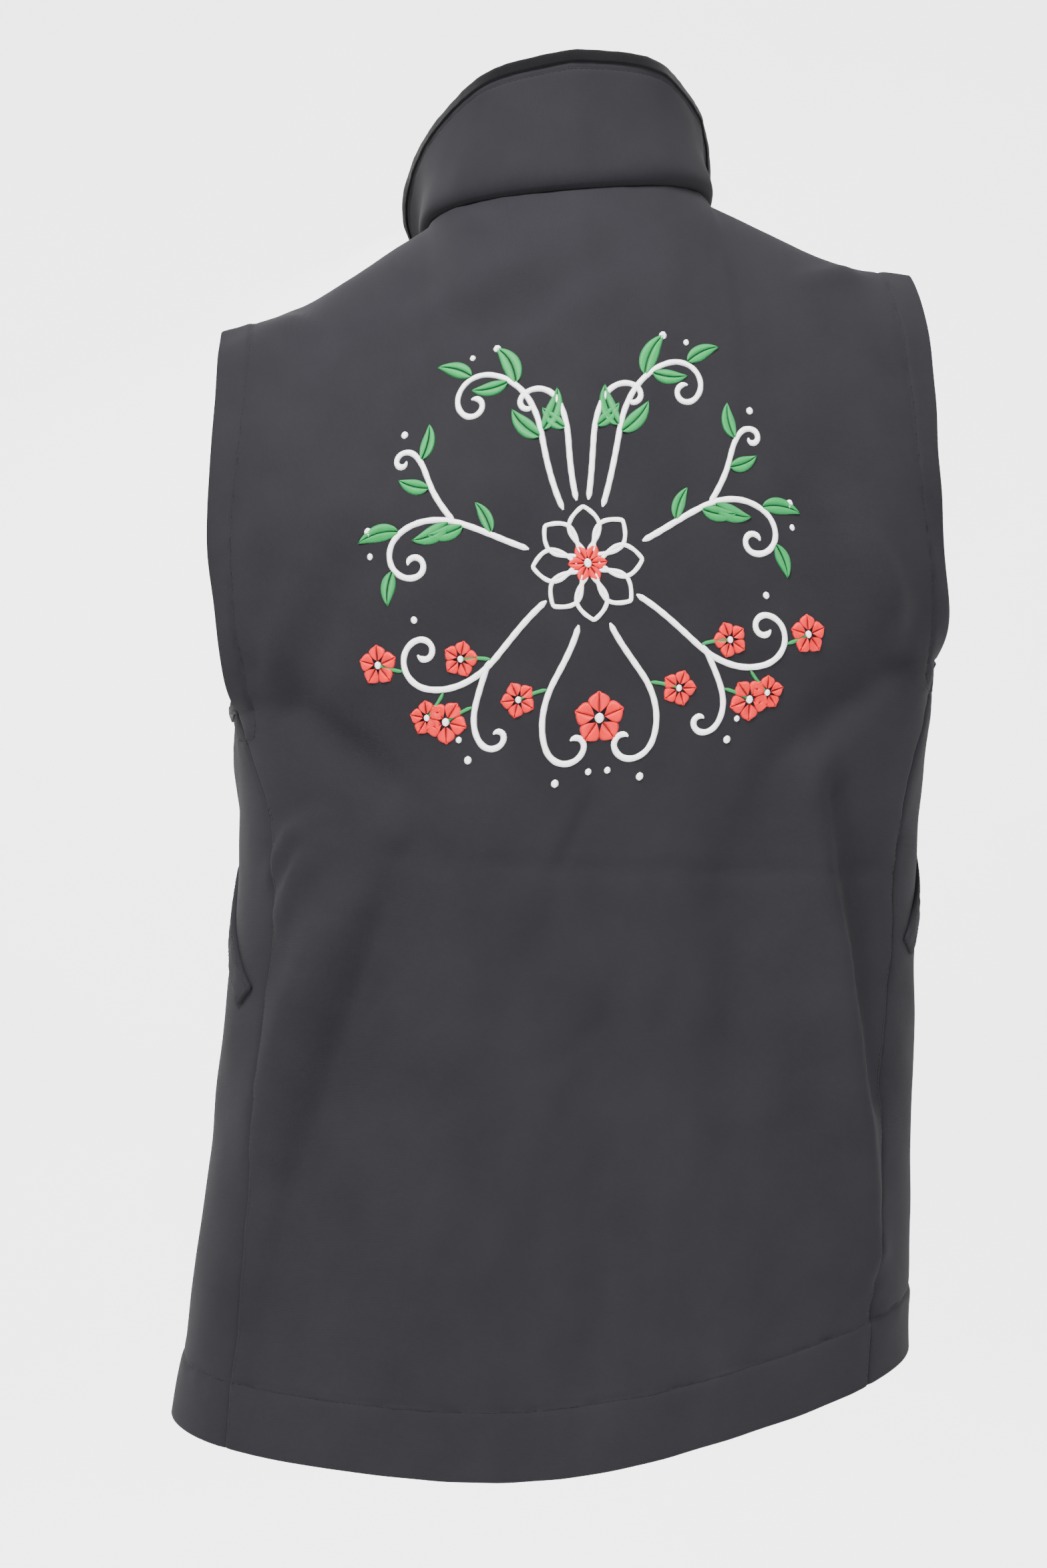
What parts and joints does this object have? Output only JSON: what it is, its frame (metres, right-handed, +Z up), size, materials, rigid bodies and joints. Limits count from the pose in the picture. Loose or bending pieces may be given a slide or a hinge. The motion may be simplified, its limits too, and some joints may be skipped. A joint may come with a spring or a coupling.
{
  "type": "western vest",
  "caption": "Sleeveless softshell vest in its worn form, with a stand collar, a full front zip, slanted hand pockets and open neck, hem and armholes.",
  "frame": {"origin": "middle of the neck seam, at the height of the seam at centre back, where the vest hangs from the neck and shoulders", "axes": "+Z up, -Y is the front with the zip, +Y the back, +X the wearer's left"},
  "size_m": [0.4673, 0.2814, 0.7894],
  "materials": {
    "softshell": "matt bonded knit, charcoal black",
    "fleece": "brushed black knit",
    "zip_tape": "woven black tape",
    "moulded_teeth": "moulded black",
    "zip_metal": "black lacquer"
  },
  "bodies": {
    "vest": {"back_panel": "softshell", "front_left": "softshell", "front_right": "softshell", "collar": "softshell", "collar_facing": "fleece", "pocket_welt_left": "softshell", "pocket_welt_right": "softshell", "zip_tape_left": "zip_tape", "zip_tape_right": "zip_tape", "zip_teeth_left": "moulded_teeth", "zip_teeth_right": "moulded_teeth", "zip_box": "moulded_teeth", "zip_slider": "zip_metal"},
    "zip_pull": {"zip_pull": "zip_metal"}
  },
  "joints": [
    {"name": "pull_swing", "type": "hinge", "parent": "vest", "child": "zip_pull", "pos_m": [0.00742, -0.13568, -0.19042], "axis": [-1, 0, 0], "range_deg": [-3, 150]}
  ]
}
